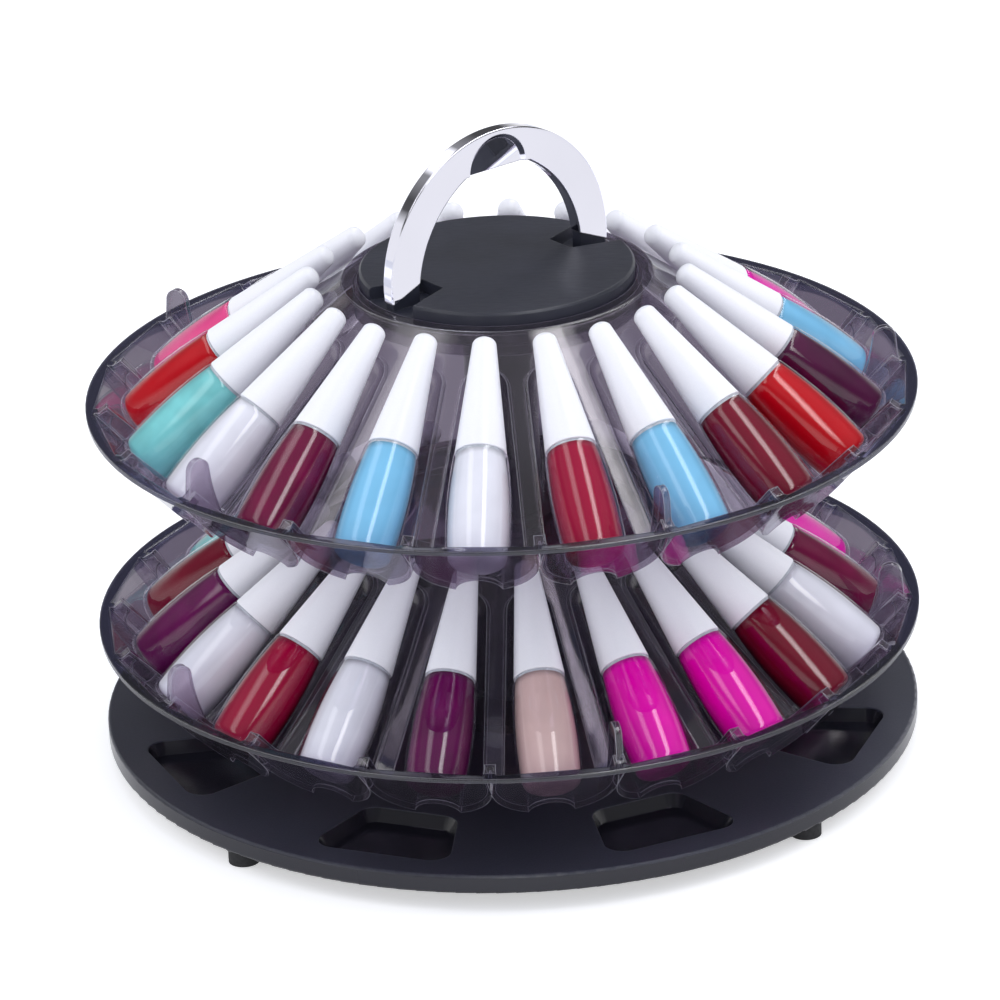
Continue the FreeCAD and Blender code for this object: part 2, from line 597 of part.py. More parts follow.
def slab(corner, sizes, place):
    block = Part.makeBox(*sizes, corner)
    block.Placement = place.multiply(block.Placement)
    return block


def beyond_wall(extra):
    """A block that starts at the end wall's face and reaches far outside."""
    reach = 4 * value("channel_depth")
    lean = Rotation(across, value("bottle_slope"))
    return slab(Vector(extra, -reach / 2, -reach / 2), (reach, reach, reach), Placement(floor_end, lean))


def window_tool():
    """The round opening under the heel of the bottle, through floor and end wall."""
    start = floor_end - down * value("window_length") - lift * value("window_drop")
    return Part.makeCylinder(value("window_radius"), value("window_length + 4 * tray_wall"), start, down)


def tray_sector():
    half = slot_step / 2
    air = underside_block(half * 1.5).cut(channel_body(value("tray_wall")))
    sector = crest_block(half).cut(air)
    return sector.cut([channel_body(0), window_tool()])


def finger_tab():
    """A thin round-topped tab on a ridge end, its inner edge sweeping down along the ridge."""
    outer = value("tray_radius - tab_inset")
    outer_shoulder = outer - value("tab_lean")
    inner = outer_shoulder - value("tab_width")
    top = value("tab_height")
    shoulder = top - value("tab_width") / 2
    sink = value("tab_root_sink")
    toe = inner - value("tab_flare")
    bump = value(BUMP_RADIUS)
    toe_level = value("bump_rise") - (bump - toe) * value(RIDGE_CLIMB) - sink
    corners = [Vector(outer, 0, -value("tab_outer_sink")), Vector(outer_shoulder, 0, shoulder),
               Vector(inner, 0, shoulder), Vector(toe, 0, toe_level),
               Vector(bump, 0, value("bump_rise") - sink)]
    summit = Vector((outer_shoulder + inner) / 2, 0, top)
    knee = Vector(inner - value("tab_flare") * 0.3, 0, (shoulder + toe_level) * 0.35)
    edges = [Part.makeLine(corners[0], corners[1]),
             Part.Arc(corners[1], summit, corners[2]).toShape(),
             Part.Arc(corners[2], knee, corners[3]).toShape(),
             Part.makeLine(corners[3], corners[4]),
             Part.makeLine(corners[4], corners[0])]
    thick = value("tab_thickness")
    plate = Part.Face(Part.Wire(edges)).extrude(across * thick)
    plate.translate(across * (-thick / 2))
    return plate


def turned(shape, angle):
    copy = shape.copy()
    copy.rotate(Vector(), Vector(0, 0, 1), angle)
    return copy


def tray_moulding():
    """All channels of one tray joined round the axis, with its tabs, slot 1 along +X."""
    sector = tray_sector()
    sectors = [turned(sector, slot_step * n) for n in range(int(value("slot_count")))]
    whole = sectors[0].fuse(sectors[1:]).removeSplitter()
    count = int(value("tab_count"))
    tabs = [turned(finger_tab(), slot_step / 2 + 360 / count * n) for n in range(count)]
    return whole.fuse(tabs).removeSplitter()


def tier_place(level, azimuth):
    return Placement(Vector(0, 0, value(level)), Rotation(Vector(0, 0, 1), value(azimuth) - 90))


def trays():
    moulding = tray_moulding()
    return [solid_feature("lower_tray", moulding, tier_place("lower_rim_height", "lower_slot_azimuth")),
            solid_feature("upper_tray", moulding.copy(), tier_place(UPPER_RIM, "upper_slot_azimuth"))]


# Bottles: glass and cap are two solids, standing on the heel along +Z.

def turned_solid(edges):
    return Part.Face(Part.Wire(edges)).revolve(Vector(), Vector(0, 0, 1), 360)


def bottle_shape():
    joint = value("bottle_length - bottle_cap_length")
    top = value("bottle_length")
    heel_flat = value("glass_heel_flat")
    heel = value("glass_heel_radius")
    heel_height = value("glass_heel_height")
    widest = Vector(value("glass_radius"), 0, value("glass_widest"))
    heel_side = Vector(heel, 0, heel_height)
    heel_centre = Vector(heel_flat, 0, heel_height)
    heel_bend = heel_centre + Vector(heel - heel_flat, 0, -heel_height) * math.sin(math.pi / 4)
    shoulder = Vector(value("glass_shoulder"), 0, joint)
    foot, neck = Vector(), Vector(0, 0, joint)
    glass = turned_solid([
        Part.makeLine(foot, Vector(heel_flat, 0, 0)),
        Part.Arc(Vector(heel_flat, 0, 0), heel_bend, heel_side).toShape(),
        Part.Arc(heel_side, widest, shoulder).toShape(),
        Part.makeLine(shoulder, neck), Part.makeLine(neck, foot)])
    tip_radius, tip_height = value("bottle_tip_radius"), value("bottle_tip_height")
    brow = Vector(tip_radius, 0, top - tip_height)
    flat = value("bottle_tip_flat")
    dome = Vector(flat + (tip_radius - flat) * math.cos(math.pi / 4), 0,
                  top - tip_height + tip_height * math.sin(math.pi / 4))
    crown = Vector(flat, 0, top)
    rim = Vector(value("bottle_cap_radius"), 0, joint)
    cap = turned_solid([
        Part.makeLine(neck, rim), Part.makeLine(rim, brow),
        Part.Arc(brow, dome, crown).toShape(),
        Part.makeLine(crown, Vector(0, 0, top)), Part.makeLine(Vector(0, 0, top), neck)])
    return Part.makeCompound([glass, cap])


def bottles():
    """One bottle in each channel of both trays, heel against the end wall."""
    shape = bottle_shape()
    seat = floor_end + lift * value("glass_radius + bottle_floor_gap") - down * value("bottle_wall_gap")
    lying = Placement(seat, Rotation(across, value("bottle_slope") - 90))
    made = []
    for tier, level, azimuth in (("lower", "lower_rim_height", "lower_slot_azimuth"),
                                 ("upper", UPPER_RIM, "upper_slot_azimuth")):
        for number in range(int(value("slot_count"))):
            spin = Placement(Vector(), Rotation(Vector(0, 0, 1), slot_step * number))
            place = tier_place(level, azimuth).multiply(spin).multiply(lying)
            made.append(solid_feature(f"bottle_{tier}_{number + 1:02d}", shape.copy(), place))
    return made


pieces = [base_plate(), rubber_feet(), *spindle(), top_cap(), handle(), handle_screws()]
pieces += trays() + bottles()
doc.recompute()

for item in doc.Objects:
    if {"Invalid", "Error"} & set(item.State):
        raise RuntimeError(f"{item.Name} failed: {item.State}")
for piece in pieces:
    if piece.Shape.isNull() or not piece.Shape.isValid():
        raise RuntimeError(f"{piece.Label} has a bad shape")
for piece in pieces:
    piece.Shape.exportStep(f"parts/{piece.Label}.step")
    print(piece.Label, len(piece.Shape.Solids), round(piece.Shape.Volume, 1))
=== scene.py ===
"""Looks of the two-tier turning nail polish rack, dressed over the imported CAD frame.

Units are metres; a number times MM is in millimetres. Z is up, the trays turn about it, the front is -Y.
"""

import json
import math

import bmesh
import bpy
from mathutils import Matrix, Vector


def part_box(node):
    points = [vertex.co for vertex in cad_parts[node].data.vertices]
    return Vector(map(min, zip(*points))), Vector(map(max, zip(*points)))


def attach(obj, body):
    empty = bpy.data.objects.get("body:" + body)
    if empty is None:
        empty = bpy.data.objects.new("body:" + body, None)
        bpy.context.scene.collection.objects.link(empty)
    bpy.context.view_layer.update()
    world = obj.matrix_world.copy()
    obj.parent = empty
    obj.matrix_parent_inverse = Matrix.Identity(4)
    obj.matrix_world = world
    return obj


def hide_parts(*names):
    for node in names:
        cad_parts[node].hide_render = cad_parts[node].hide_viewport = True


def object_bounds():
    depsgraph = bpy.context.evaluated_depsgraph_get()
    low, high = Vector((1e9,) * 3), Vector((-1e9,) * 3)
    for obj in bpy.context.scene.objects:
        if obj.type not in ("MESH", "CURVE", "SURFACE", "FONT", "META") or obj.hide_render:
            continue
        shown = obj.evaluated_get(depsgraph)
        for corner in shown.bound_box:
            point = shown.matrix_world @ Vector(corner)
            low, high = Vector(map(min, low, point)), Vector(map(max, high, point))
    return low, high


MM = 0.001
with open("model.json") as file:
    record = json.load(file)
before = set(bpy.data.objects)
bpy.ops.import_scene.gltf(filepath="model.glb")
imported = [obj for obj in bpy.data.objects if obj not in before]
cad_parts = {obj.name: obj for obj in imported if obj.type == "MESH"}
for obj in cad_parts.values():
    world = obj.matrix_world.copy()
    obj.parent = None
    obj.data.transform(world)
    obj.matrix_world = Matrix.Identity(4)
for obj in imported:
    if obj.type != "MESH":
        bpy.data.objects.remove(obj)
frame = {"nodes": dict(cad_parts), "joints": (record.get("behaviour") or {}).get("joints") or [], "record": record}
cad_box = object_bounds()
nodes = frame["nodes"]
scene = bpy.context.scene

# Sizes of the bottle, close to those in the part's source.
BOTTLE_LENGTH = 87.8 * MM
CAP_LENGTH = 44.8 * MM
JOINT = BOTTLE_LENGTH - CAP_LENGTH
HEEL_FLAT = 7 * MM
HEEL_RADIUS = 11 * MM
HEEL_HEIGHT = 4 * MM
WIDEST_RADIUS = 11.4 * MM
WIDEST_HEIGHT = 15 * MM
SHOULDER_RADIUS = 9.2 * MM
CAP_RADIUS = 8.9 * MM
TIP_RADIUS = 4.2 * MM
TIP_HEIGHT = 3 * MM

# Levels read from the frame.
BASE_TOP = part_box("base_plate")[1].z
BASE_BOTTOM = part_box("base_plate")[0].z
BASE_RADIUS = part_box("base_plate")[1].x
TRAY_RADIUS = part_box("upper_tray")[1].x
HANDLE_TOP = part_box("handle")[1].z

# Places where a material changes. The dish's floor and lip are measured from the handle's middle plane.
POCKET_REACH = BASE_RADIUS - 9.5 * MM
FLANGE_INNER = TRAY_RADIUS - 4.4 * MM
HANDLE_TURN = math.radians(37.7)
DISH_FLOOR = 1.6 * MM
DISH_LIP = 2.2 * MM
DISH_LOW = HANDLE_TOP - 14.8 * MM
DISH_HIGH = HANDLE_TOP - 9.8 * MM
DISH_TILT = 0.4
DISH_LEAN = -0.9


# Shader graphs. A value that is a socket is linked, and any other value is set.

BEVEL_SAMPLES = 6


def add(tree, kind, settings=None, **inputs):
    """Add a shader node; an input's name has _ for spaces, or i and its number."""
    node = tree.nodes.new(f"ShaderNode{kind}")
    for name, setting in (settings or {}).items():
        setattr(node, name, setting)
    for name, content in inputs.items():
        key = int(name[1:]) if name[0] == "i" and name[1:].isdigit() else name.replace("_", " ")
        if isinstance(content, bpy.types.NodeSocket):
            tree.links.new(content, node.inputs[key])
        else:
            node.inputs[key].default_value = content
    return node


def new_material(name):
    material = bpy.data.materials.new(name)
    material.use_nodes = True
    material.node_tree.nodes.clear()
    return material, material.node_tree


def output(tree, shader):
    add(tree, "OutputMaterial", Surface=shader)


def tone(red, green, blue):
    """Linear colour from a colour as it looks on a screen, 0 to 255."""
    parts = [c / 255 for c in (red, green, blue)]
    return tuple(c / 12.92 if c <= 0.04045 else ((c + 0.055) / 1.055) ** 2.4 for c in parts) + (1,)


def ramp(tree, factor, *stops):
    """A colour ramp; each stop is a place and a grey level or a colour."""
    node = add(tree, "ValToRGB", Fac=factor)
    stops = [(place, c if isinstance(c, tuple) else (c, c, c, 1)) for place, c in stops]
    elements = node.color_ramp.elements
    elements[0].position, elements[0].color = stops[0]
    elements[1].position, elements[1].color = stops[-1]
    for place, colour in stops[1:-1]:
        elements.new(place).color = colour
    return node.outputs["Color"]


def noise(tree, scale, detail=2, stretch=(1, 1, 1)):
    """Noise in object space, its scale in cells for each metre."""
    place = add(tree, "TexCoord").outputs["Object"]
    mapped = add(tree, "Mapping", Vector=place, Scale=stretch).outputs["Vector"]
    return add(tree, "TexNoise", Vector=mapped, Scale=scale, Detail=detail).outputs["Fac"]


def bump(tree, height, depth, normal=None):
    inputs = {"Height": height, "Strength": 1.0, "Distance": depth}
    if normal is not None:
        inputs["Normal"] = normal
    return add(tree, "Bump", **inputs).outputs["Normal"]


def soft_edges(tree, radius):
    return add(tree, "Bevel", {"samples": BEVEL_SAMPLES}, Radius=radius).outputs["Normal"]


def calculate(tree, operation, *terms):
    """The result of a maths node over its terms."""
    inputs = {f"i{place}": term for place, term in enumerate(terms)}
    return add(tree, "Math", {"operation": operation}, **inputs).outputs["Value"]


def times(tree, first, second):
    return calculate(tree, "MULTIPLY", first, second)


def spread(tree, value, start, end, first, last):
    """The stretch from start to end carried over to first to last, and held beyond it."""
    node = add(tree, "MapRange", Value=value, From_Min=start, From_Max=end, To_Min=first, To_Max=last)
    return node.outputs["Result"]


def blend(tree, share, first, second, kind="MIX"):
    return add(tree, "MixRGB", {"blend_type": kind}, Fac=share, Color1=first, Color2=second).outputs["Color"]


def dot(tree, first, second):
    return add(tree, "VectorMath", {"operation": "DOT_PRODUCT"}, i0=first, i1=second).outputs["Value"]


def facing_away(tree):
    """0 where the surface is seen face-on, 1 where it is seen edge-on."""
    return add(tree, "LayerWeight", Blend=0.5).outputs["Facing"]


def level_mask(tree, low, high):
    """1 below the low level, 0 above the high one."""
    place = add(tree, "NewGeometry").outputs["Position"]
    level = add(tree, "SeparateXYZ", Vector=place).outputs["Z"]
    return spread(tree, level, low, high, 1.0, 0.0)


def radius_mask(tree, near, far):
    """1 inside the near radius, 0 outside the far one."""
    place = add(tree, "NewGeometry").outputs["Position"]
    flat = add(tree, "VectorMath", {"operation": "MULTIPLY"}, i0=place, i1=(1, 1, 0)).outputs["Vector"]
    length = add(tree, "VectorMath", {"operation": "LENGTH"}, i0=flat).outputs["Value"]
    return spread(tree, length, near, far, 1.0, 0.0)


# Materials.

def base_material():
    """Charcoal plastic: fine grain on top, polished pockets and a smooth side, both darker in colour as painted
    shade.
    """
    material, tree = new_material("base_charcoal")
    inside = radius_mask(tree, POCKET_REACH, POCKET_REACH + 0.5 * MM)
    pocket = times(tree, inside, level_mask(tree, BASE_TOP - 0.5 * MM, BASE_TOP - 0.2 * MM))
    side = level_mask(tree, BASE_TOP - 1.2 * MM, BASE_TOP - 0.6 * MM)
    smooth = calculate(tree, "MAXIMUM", pocket, side)
    grain = noise(tree, 1500, 3)
    cloud = noise(tree, 9, 3)
    top_colour = ramp(tree, cloud, (0.3, tone(44, 45, 57)), (0.7, tone(58, 60, 73)))
    speck = ramp(tree, grain, (0.35, 0.72), (0.65, 1.0))
    grained = blend(tree, 1.0, top_colour, speck, "MULTIPLY")
    # Painted shade: the pockets and the side get a darker colour than the top.
    colour = blend(tree, smooth, grained, tone(30, 30, 38))
    rough = spread(tree, smooth, 0.0, 1.0, 0.42, 0.16)
    normal = bump(tree, grain, 0.05 * MM, soft_edges(tree, 0.5 * MM))
    mixed = blend(tree, smooth, normal, soft_edges(tree, 0.8 * MM))
    shader = add(tree, "BsdfPrincipled", Base_Color=colour, Roughness=rough, Normal=mixed)
    output(tree, shader.outputs[0])
    return material


def cap_material():
    """Satin charcoal with a fine brushed grain."""
    material, tree = new_material("cap_satin")
    brush = noise(tree, 900, 3, (0.25, 1, 1))
    cloud = noise(tree, 25, 2)
    colour = ramp(tree, cloud, (0.3, tone(30, 32, 42)), (0.7, tone(42, 44, 56)))
    rough = ramp(tree, brush, (0.3, 0.34), (0.7, 0.46))
    normal = bump(tree, brush, 0.03 * MM, soft_edges(tree, 0.5 * MM))
    shader = add(tree, "BsdfPrincipled", Base_Color=colour, Roughness=rough, Normal=normal)
    output(tree, shader.outputs[0])
    return material


def mirror_share(tree, least):
    """Share of light mirrored by a clear surface: least face-on, all of it edge-on, alike from both sides."""
    steep = calculate(tree, "POWER", facing_away(tree), 5.0)
    return spread(tree, steep, 0.0, 1.0, least, 1.0)


def crowned(tree, normal, lean):
    """The normal of an upright face, leaned up as on a band whose faces are slightly crowned."""
    level = add(tree, "SeparateXYZ", Vector=normal).outputs["Z"]
    steepness = calculate(tree, "ABSOLUTE", level)
    lift = spread(tree, steepness, 0.0, 0.15, lean, 0.0)
    upward = add(tree, "CombineXYZ", Z=lift).outputs["Vector"]
    leaned = add(tree, "VectorMath", {"operation": "ADD"}, i0=normal, i1=upward).outputs["Vector"]
    return add(tree, "VectorMath", {"operation": "NORMALIZE"}, i0=leaned).outputs["Vector"]


def dished(tree, lean):
    """The lean of the handle's faces: in the dish at the grip it turns from down at the top to up below."""
    place = add(tree, "NewGeometry").outputs["Position"]
    span = (math.cos(HANDLE_TURN), math.sin(HANDLE_TURN), 0)
    facing = (span[1], -span[0], 0)
    near = calculate(tree, "ABSOLUTE", dot(tree, place, facing))
    mask = spread(tree, near, DISH_FLOOR, DISH_LIP, 1.0, 0.0)
    level = add(tree, "SeparateXYZ", Vector=place).outputs["Z"]
    slope = calculate(tree, "SUBTRACT", level, times(tree, dot(tree, place, span), DISH_TILT))
    fall = spread(tree, slope, DISH_LOW, DISH_HIGH, 0.0, DISH_LEAN)
    return calculate(tree, "ADD", times(tree, mask, fall), lean)


def plastic(name, colour, roughness, grain_scale=700, grain_depth=0.02):
    material, tree = new_material(name)
    grain = noise(tree, grain_scale, 3)
    tinted = ramp(tree, grain, (0.3, tuple(c * 0.85 for c in colour[:3]) + (1,)), (0.7, colour))
    rough = ramp(tree, grain, (0.3, roughness * 0.85), (0.7, roughness * 1.15))
    normal = bump(tree, grain, grain_depth * MM, soft_edges(tree, 0.3 * MM))
    shader = add(tree, "BsdfPrincipled", Base_Color=tinted, Roughness=rough, Normal=normal)
    output(tree, shader.outputs[0])
    return material


def metal(name, colour, roughness, grain_scale, crown=0.0):
    material, tree = new_material(name)
    grain = noise(tree, grain_scale, 2)
    rough = ramp(tree, grain, (0.3, roughness * 0.8), (0.7, roughness * 1.3))
    tinted = ramp(tree, grain, (0.3, tuple(c * 0.94 for c in colour[:3]) + (1,)), (0.7, colour))
    normal = soft_edges(tree, 0.4 * MM)
    if crown:
        normal = crowned(tree, normal, dished(tree, crown))
    shader = add(tree, "BsdfPrincipled", Base_Color=tinted, Roughness=rough, Metallic=1.0, Normal=normal)
    output(tree, shader.outputs[0])
    return material


SMOKE_FACE_ON = tone(226, 221, 229)
SMOKE_SLANTED = tone(205, 199, 210)
SMOKE_EDGE_ON = tone(130, 124, 140)
SMOKE_FLANGE = tone(128, 129, 156)
SMOKE_HAZE_AND_EDGE_HIGHLIGHT = tone(232, 230, 246)
SMOKE_MIRROR = 0.06
GLASS_MIRROR = 0.05

# How milky the smoke is where it is flat, how much pale painted highlight its edges get, and how alike the two
# normals are there.
FLAT_ALIKE, EDGE_ALIKE = 0.99, 0.88
FLAT_HAZE, EDGE_PAINTED_HIGHLIGHT = 0.015, 0.55


def smoked_material():
    """Clear smoked plastic: each surface tints what is behind it, more where it is seen edge-on, and its edges get
    pale painted highlight lines.
    """
    material, tree = new_material("smoked_clear")
    streak = noise(tree, 60, 2)
    wall = ramp(tree, facing_away(tree), (0.0, SMOKE_FACE_ON), (0.6, SMOKE_SLANTED), (1.0, SMOKE_EDGE_ON))
    inside = radius_mask(tree, FLANGE_INNER, FLANGE_INNER + 0.4 * MM)
    tint = blend(tree, inside, SMOKE_FLANGE, wall)
    rounded = soft_edges(tree, 1.4 * MM)
    normal = bump(tree, streak, 0.15 * MM, rounded)
    flat = add(tree, "NewGeometry").outputs["Normal"]
    sharp = soft_edges(tree, spread(tree, inside, 0.0, 1.0, 0.15 * MM, 0.45 * MM))
    # Painted highlight: a pale diffuse colour along the rounded edges stands in for light caught there; on flat
    # faces it is a faint haze.
    edge = spread(tree, dot(tree, sharp, flat), FLAT_ALIKE, EDGE_ALIKE, FLAT_HAZE, EDGE_PAINTED_HIGHLIGHT)
    through = add(tree, "BsdfTransparent", Color=tint).outputs[0]
    gloss = add(tree, "BsdfGlossy", Color=(1, 1, 1, 1), Roughness=0.04, Normal=normal).outputs[0]
    body = add(tree, "BsdfDiffuse", Color=SMOKE_HAZE_AND_EDGE_HIGHLIGHT, Normal=normal).outputs[0]
    haze_and_painted_highlight = add(tree, "MixShader", i0=edge, i1=through, i2=body).outputs[0]
    output(tree, add(tree, "MixShader", i0=mirror_share(tree, SMOKE_MIRROR), i1=haze_and_painted_highlight, i2=gloss).outputs[0])
    return material


def clear_glass():
    """The thin clear shell round the polish."""
    material, tree = new_material("bottle_glass")
    through = add(tree, "BsdfTransparent", Color=tone(252, 252, 253)).outputs[0]
    ripple = noise(tree, 120, 2)
    normal = bump(tree, ripple, 0.05 * MM)
    gloss = add(tree, "BsdfGlossy", Color=(1, 1, 1, 1), Roughness=0.03, Normal=normal).outputs[0]
    output(tree, add(tree, "MixShader", i0=mirror_share(tree, GLASS_MIRROR), i1=through, i2=gloss).outputs[0])
    return material


def polish_material(name, colour, shimmer):
    """Polish seen through its glass: even colour, a trace of settling, painted shade darkening it where it is seen
    edge-on, and a soft sheen.
    """
    material, tree = new_material(f"polish_{name}")
    settle = noise(tree, 90, 2)
    deep = tuple(c * (1 - shimmer) for c in colour[:3]) + (1,)
    tinted = ramp(tree, settle, (0.3, deep), (0.7, colour))
    # Painted shade: the colour is darkened where the polish is seen edge-on.
    shade = ramp(tree, facing_away(tree), (0.0, 1.0), (0.35, 0.92), (1.0, 0.45))
    shaded = blend(tree, 1.0, tinted, shade, "MULTIPLY")
    shader = add(tree, "BsdfPrincipled", Base_Color=shaded, Roughness=0.35)
    shader.inputs["Specular IOR Level"].default_value = 0.1
    output(tree, shader.outputs[0])
    return material


def white_cap():
    """Satin white moulded cap."""
    material, tree = new_material("bottle_cap_white")
    grain = noise(tree, 2200, 3)
    colour = ramp(tree, grain, (0.3, tone(240, 240, 246)), (0.7, tone(244, 244, 249)))
    rough = ramp(tree, grain, (0.3, 0.34), (0.7, 0.38))
    shader = add(tree, "BsdfPrincipled", Base_Color=colour, Roughness=rough,
                 Normal=bump(tree, grain, 0.01 * MM))
    output(tree, shader.outputs[0])
    return material


POLISHES = {
    "crimson": tone(164, 0, 56), "light_blue": tone(135, 206, 244), "dark_red": tone(122, 0, 38),
    "red": tone(200, 0, 22), "dark_purple": tone(82, 12, 62), "hot_pink": tone(252, 0, 186),
    "pink": tone(248, 84, 152), "teal": tone(138, 226, 226), "white": tone(246, 246, 254),
    "burgundy": tone(122, 2, 64), "nude": tone(224, 192, 187), "plum": tone(110, 6, 86)}
SHIMMER = {"burgundy": 0.35, "plum": 0.35, "dark_purple": 0.3, "teal": 0.25}
EVEN_SHIMMER = 0.08


# Bottles: outlines are lists of (radius, height), turned about the bottle's axis.

def arc(start, middle, end, steps):
    """Points of the round stretch through three points."""
    (ax, ay), (bx, by), (cx, cy) = start, middle, end
    d = 2 * (ax * (by - cy) + bx * (cy - ay) + cx * (ay - by))
    ux = ((ax**2 + ay**2) * (by - cy) + (bx**2 + by**2) * (cy - ay) + (cx**2 + cy**2) * (ay - by)) / d
    uy = ((ax**2 + ay**2) * (cx - bx) + (bx**2 + by**2) * (ax - cx) + (cx**2 + cy**2) * (bx - ax)) / d
    angles = [math.atan2(y - uy, x - ux) for x, y in (start, middle, end)]
    radius = math.hypot(ax - ux, ay - uy)
    for n in (1, 2):
        while angles[n] - angles[n - 1] > math.pi:
            angles[n] -= 2 * math.pi
        while angles[n] - angles[n - 1] < -math.pi:
            angles[n] += 2 * math.pi
    turns = [angles[0] + (angles[2] - angles[0]) * k / steps for k in range(steps + 1)]
    return [(ux + radius * math.cos(t), uy + radius * math.sin(t)) for t in turns]


def corner(inner, outer, low, high, steps=6):
    """A quarter round from (inner, low) out to (outer, high)."""
    turns = [math.pi / 2 * k / steps for k in range(steps + 1)]
    return [(inner + (outer - inner) * math.sin(t), high - (high - low) * math.cos(t)) for t in turns]


def turn(mesh, outline, slot, segments=48):
    """Add a surface of revolution to the bmesh; a radius of 0 makes a pole."""
    rings = []
    for radius, height in outline:
        if radius < 1e-6:
            rings.append([mesh.verts.new((0, 0, height))])
            continue
        turns = [2 * math.pi * k / segments for k in range(segments)]
        rings.append([mesh.verts.new((radius * math.cos(t), radius * math.sin(t), height)) for t in turns])
    for low, high in zip(rings, rings[1:]):
        for k in range(segments):
            after = (k + 1) % segments
            corners = [low[k % len(low)], low[after % len(low)], high[after % len(high)], high[k % len(high)]]
            face = mesh.faces.new(list(dict.fromkeys(corners)))
            face.smooth = True
            face.material_index = slot


def glass_outline():
    side = arc((HEEL_RADIUS, HEEL_HEIGHT), (WIDEST_RADIUS, WIDEST_HEIGHT), (SHOULDER_RADIUS, JOINT), 16)
    lip = 0.5 * MM
    rolled = [(SHOULDER_RADIUS - lip, JOINT - 0.05 * MM), (CAP_RADIUS - 2 * MM, JOINT - 0.05 * MM)]
    punt = [(0, 0.9 * MM), (HEEL_FLAT * 0.6, 0.6 * MM)]
    heel = corner(HEEL_FLAT, HEEL_RADIUS, 0, HEEL_HEIGHT)
    return punt + heel + side[1:-1] + [(SHOULDER_RADIUS, JOINT - lip)] + rolled


def polish_outline():
    wall = 0.9 * MM
    floor = 1.8 * MM
    top = JOINT - 0.9 * MM
    rounding = floor + 2.6 * MM
    side = arc((HEEL_RADIUS - wall, rounding), (WIDEST_RADIUS - wall, WIDEST_HEIGHT),
               (SHOULDER_RADIUS - wall * 0.8, top), 14)
    heel = corner(HEEL_FLAT, HEEL_RADIUS - wall, floor, rounding)
    return [(0, floor)] + heel + side[1:] + [(0, top)]


def cap_outline():
    edge = 0.35 * MM
    low = JOINT + 0.15 * MM
    brow = BOTTLE_LENGTH - TIP_HEIGHT
    dome = [(TIP_RADIUS * math.cos(t), brow + TIP_HEIGHT * math.sin(t))
            for t in [math.pi / 2 * k / 8 for k in range(8)]]
    foot = [(CAP_RADIUS - 3 * MM, low)] + corner(CAP_RADIUS - edge, CAP_RADIUS, low, low + edge, 4)
    return foot + dome + [(0, BOTTLE_LENGTH)]


def neck_outline():
    return [(CAP_RADIUS - 0.6 * MM, JOINT - 1.2 * MM), (CAP_RADIUS - 0.6 * MM, JOINT + 0.4 * MM)]


def bottle_place(node, lift):
    """The heel's centre, from the CAD mesh, and the bottle's own axis, square to the way it lifts out."""
    outward = Vector((lift[0], lift[1], 0))
    along = Vector((0, 0, outward.length)) - outward.normalized() * lift[2]
    heights = [(v.co.dot(along), v.co) for v in nodes[node].data.vertices]
    lowest = min(h for h, _ in heights)
    foot = [co for h, co in heights if h < lowest + 0.1 * MM]
    low = Vector([min(co[k] for co in foot) for k in range(3)])
    high = Vector([max(co[k] for co in foot) for k in range(3)])
    across = Vector((-along.y, along.x, 0)).normalized()
    third = along.cross(across)
    turned = Matrix((across, third, along)).transposed().to_4x4()
    return Matrix.Translation((low + high) / 2) @ turned


def make_bottles():
    glass, cap, neck = clear_glass(), white_cap(), plastic("neck_ring", tone(196, 200, 208), 0.3)
    polishes = {name: polish_material(name, colour, SHIMMER.get(name, EVEN_SHIMMER))
                for name, colour in POLISHES.items()}
    slots = {part["node"]: part["material_slot"] for part in frame["record"]["subparts"]}
    lifts = {joint["child"]: joint["axis"] for joint in frame["joints"]}
    outlines = [glass_outline(), polish_outline(), cap_outline(), neck_outline()]
    for node in sorted(name for name in nodes if name.startswith("bottle_")):
        mesh = bmesh.new()
        for slot, outline in enumerate(outlines):
            turn(mesh, outline, slot)
        mesh.transform(bottle_place(node, lifts[node]))
        data = bpy.data.meshes.new(f"{node}_look")
        mesh.to_mesh(data)
        mesh.free()
        for material in (glass, polishes[slots[node].replace("polish_", "")], cap, neck):
            data.materials.append(material)
        piece = bpy.data.objects.new(f"{node}_look", data)
        scene.collection.objects.link(piece)
        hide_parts(node)
        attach(piece, node)


# CAD nodes that keep their shape.

def dress(material, *names):
    for name in names:
        data = nodes[name].data
        data.materials.clear()
        data.materials.append(material)


def dress_frame():
    dress(smoked_material(), "lower_tray", "upper_tray")
    dress(base_material(), "base_plate")
    dress(cap_material(), "top_cap")
    dress(metal("chrome", (0.82, 0.82, 0.92, 1), 0.03, 20, crown=0.28), "handle")
    dress(metal("zinc_steel", (0.6, 0.6, 0.62, 1), 0.3, 300),
          "tie_rod", "bottom_washer", "bottom_nut", "cap_nut", "handle_screws")
    dress(plastic("column_black", tone(34, 34, 40), 0.35), "base_column", "middle_spacer")
    dress(plastic("glide_white", tone(225, 225, 220), 0.3), "lower_glide_washer", "upper_glide_washer",
          "lower_bush", "upper_bush")
    dress(plastic("foot_rubber", tone(30, 30, 33), 0.7, 900, 0.05), "rubber_feet")


# Camera, from the fit to the rims and the base in the photograph.

CAMERA_DISTANCE = 2.1805
CAMERA_LENS = 216
CAMERA_SENSOR = 36
ELEVATION = math.radians(23.23)
ROLL = math.radians(-2.091)
PAN_RIGHT = 4.694 * MM
PAN_UP = -76.5 * MM


